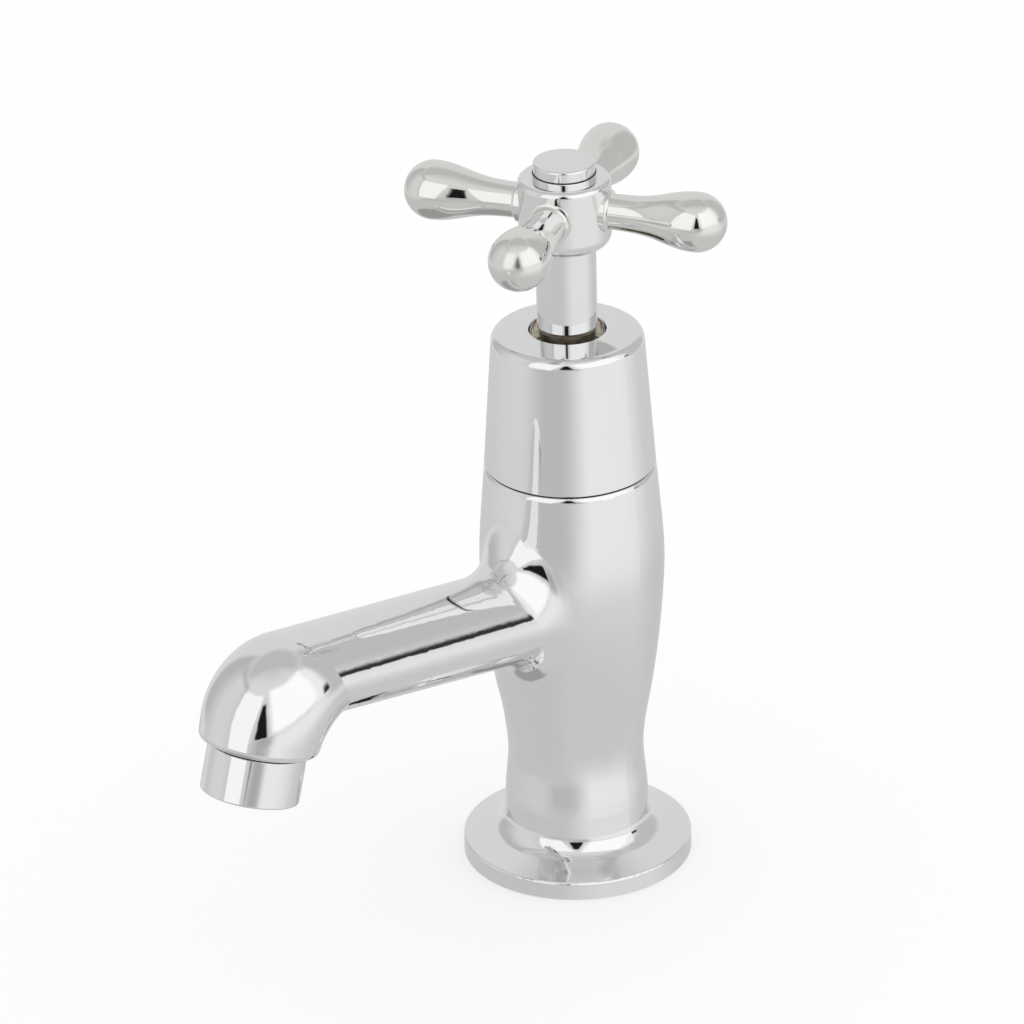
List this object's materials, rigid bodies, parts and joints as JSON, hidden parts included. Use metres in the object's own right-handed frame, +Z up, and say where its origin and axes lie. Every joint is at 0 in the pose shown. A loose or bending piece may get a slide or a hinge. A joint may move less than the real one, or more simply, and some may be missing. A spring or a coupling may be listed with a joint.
{
  "type": "cross handle pillar tap",
  "caption": "Chrome pillar tap for a basin: waisted column on a round foot, rising spout with a turned-down nose, tapered bonnet and a cross handle with ball-ended arms.",
  "frame": {"origin": "centre of the foot flange's underside, on the deck plane", "axes": "+Z up along the column's axis, spout towards -Y"},
  "size_m": [0.0692, 0.1488, 0.2209],
  "materials": {
    "chrome_plate": "polished chrome plate on cast and turned brass",
    "arm_plate": "polished plate, a little warmer than the hub's",
    "brass": "turned, bare",
    "steel": "satin stainless steel",
    "black_rubber": "matt black",
    "red_fibre": "matt fibre",
    "ceramic": "ground and polished",
    "acetal": "moulded, satin"
  },
  "bodies": {
    "tap": {"tap_body": "chrome_plate", "inlet_shank": "brass", "shank_seal": "black_rubber", "base_gasket": "black_rubber", "deck_washer": "black_rubber", "clamp_washer": "steel", "backnut": "brass", "bonnet": "chrome_plate", "bonnet_seal": "black_rubber", "cartridge_housing": "brass", "cartridge_washer": "red_fibre", "seat_seal": "black_rubber", "fixed_disc": "ceramic", "thrust_washer": "acetal", "aerator_collar": "chrome_plate", "aerator_seam_seal": "black_rubber", "aerator_insert": "acetal", "aerator_screen": "acetal", "aerator_washer": "black_rubber"},
    "handle": {"moving_disc": "ceramic", "spindle": "brass", "spindle_seals": "black_rubber", "spindle_circlip": "steel", "handle_sleeve": "chrome_plate", "handle_hub": "chrome_plate", "handle_screw": "steel", "index_cap": "chrome_plate", "cap_seal": "black_rubber", "handle_arm_1": "arm_plate", "handle_arm_2": "arm_plate", "handle_arm_3": "arm_plate", "handle_arm_4": "arm_plate"}
  },
  "joints": [
    {"name": "handle_turn", "type": "hinge", "parent": "tap", "child": "handle", "pos_m": [0, 0, 0.1601], "axis": [0, 0, 1], "range_deg": [0, 90]}
  ]
}
